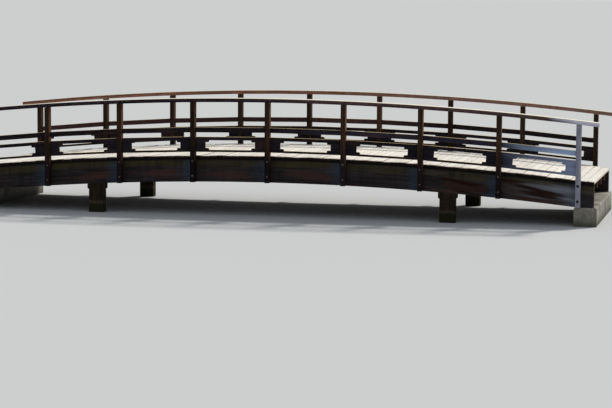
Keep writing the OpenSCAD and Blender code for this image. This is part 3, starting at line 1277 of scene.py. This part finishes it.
def screwRails():
    # toe screws through the inner faces of panels and mid rails, close to the posts
    draws = random.Random(railScrew["seed"])
    spots = []
    for i in range(bayCount):
        left, right = postX[i:i + 2]
        slope = (deckZ(right) - deckZ(left)) / bayLength
        middleX = (left + right) / 2
        middleZ = (deckZ(left) + deckZ(right)) / 2
        for row, side in rows.items():
            low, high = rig.box(f"{row}_panel_{i + 1}")
            inner = high.y if side < 0 else low.y
            reach = (high.x - low.x) / 2 - railScrew["inset"]
            for end in (-reach, reach):
                for rise in railScrew["rises"]:
                    place = (middleX + end, inner, middleZ + slope * end + rise)
                    spin = draws.uniform(0, railScrew["spin"])
                    spots.append((place, (0, -side, 0), spin, draws.uniform(*railScrew["rust"])))
    setFixings("railScrews", turned("railScrew", [screwHead]), spots)


screwRails()
print("bolts and screws set")

# Floor, light and camera

studio = {
    "backdrop": (208, 209, 210), "floorReach": 3000.0, "fill": (0.86, 0.93, 1.0), "fillStrength": 0.42,
    "sun": (1.0, 0.96, 0.89), "sunStrength": 2.75,
    "sunWidth": 9.0, "sunHeight": 44.0, "sunBearing": 34.0,  # in degrees
}


def makeFloor():
    material, shader = newMaterial("paleFloor")
    plug(shader, {"Base Color": colour(*studio["backdrop"]), "Roughness": 1.0, "Specular IOR Level": 0.0})
    reach = studio["floorReach"]
    corners = [(-reach, -reach, 0), (reach, -reach, 0), (reach, reach, 0), (-reach, reach, 0)]
    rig.stage(newPiece("floor", plainMesh("floor", corners, [(0, 1, 2, 3)]), material))


def makeSky():
    # the bridge is lit by a soft fill, and the camera sees the backdrop
    world = bpy.data.worlds.new("studio")
    bpy.context.scene.world = world
    world.use_nodes = True
    tree = world.node_tree
    tree.nodes.clear()
    ray = addNode(tree, "LightPath")
    seen = ray["Is Glossy Ray"].maths("MAXIMUM", ray["Is Transmission Ray"])
    seen = ray["Is Camera Ray"].maths("MAXIMUM", seen)
    inputs = {"Color": (*studio["fill"], 1), "Strength": studio["fillStrength"]}
    fill = addNode(tree, "Background", inputs)
    back = addNode(tree, "Background", {"Color": colour(*studio["backdrop"]), "Strength": 1.0})
    mixed = addNode(tree, "MixShader", {0: seen, 1: fill, 2: back})
    addNode(tree, "OutputWorld", {0: mixed})


def makeSun():
    lamp = bpy.data.lights.new("key", "SUN")
    lamp.energy = studio["sunStrength"]
    lamp.color = studio["sun"]
    lamp.angle = math.radians(studio["sunWidth"])
    key = newObject("key", lamp)
    bearing = math.radians(studio["sunBearing"])
    height = math.radians(studio["sunHeight"])
    flat = math.cos(height)
    toSun = Vector((math.sin(bearing) * flat, math.cos(bearing) * flat, math.sin(height)))
    key.rotation_euler = toSun.to_track_quat("Z", "Y").to_euler()


view = {
    "place": (9.322, -38.812, 4.134), "turn": 13.03, "down": 5.784, "roll": 0.35,
    "focal": 2045.5, "imageWidth": 612,  # in pixels
    "sensor": 36.0, "clipStart": 0.5, "clipEnd": 9000.0,
}


def makeCamera():
    turn, down, roll = (math.radians(view[key]) for key in ("turn", "down", "roll"))
    ahead = Vector((-math.sin(turn) * math.cos(down), math.cos(turn) * math.cos(down), -math.sin(down)))
    level = Vector((math.cos(turn), math.sin(turn), 0))
    above = level.cross(ahead)
    right = level * math.cos(roll) + above * math.sin(roll)
    up = above * math.cos(roll) - level * math.sin(roll)
    lens = bpy.data.cameras.new("camera")
    lens.sensor_width = view["sensor"]
    lens.lens = view["focal"] * view["sensor"] / view["imageWidth"]
    lens.clip_start = view["clipStart"]
    lens.clip_end = view["clipEnd"]
    camera = newObject("camera", lens)
    axes = Matrix((right, up, -ahead)).transposed().to_4x4()
    camera.matrix_world = Matrix.Translation(view["place"]) @ axes
    bpy.context.scene.camera = camera


makeFloor()
makeSky()
makeSun()
makeCamera()
bpy.context.scene.view_settings.view_transform = "Standard"
print("studio lit")

with open("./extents.json", "w") as out:
    json.dump({"cad": [list(corner) for corner in cadBox], "visual": [list(corner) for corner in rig.bounds()]}, out)
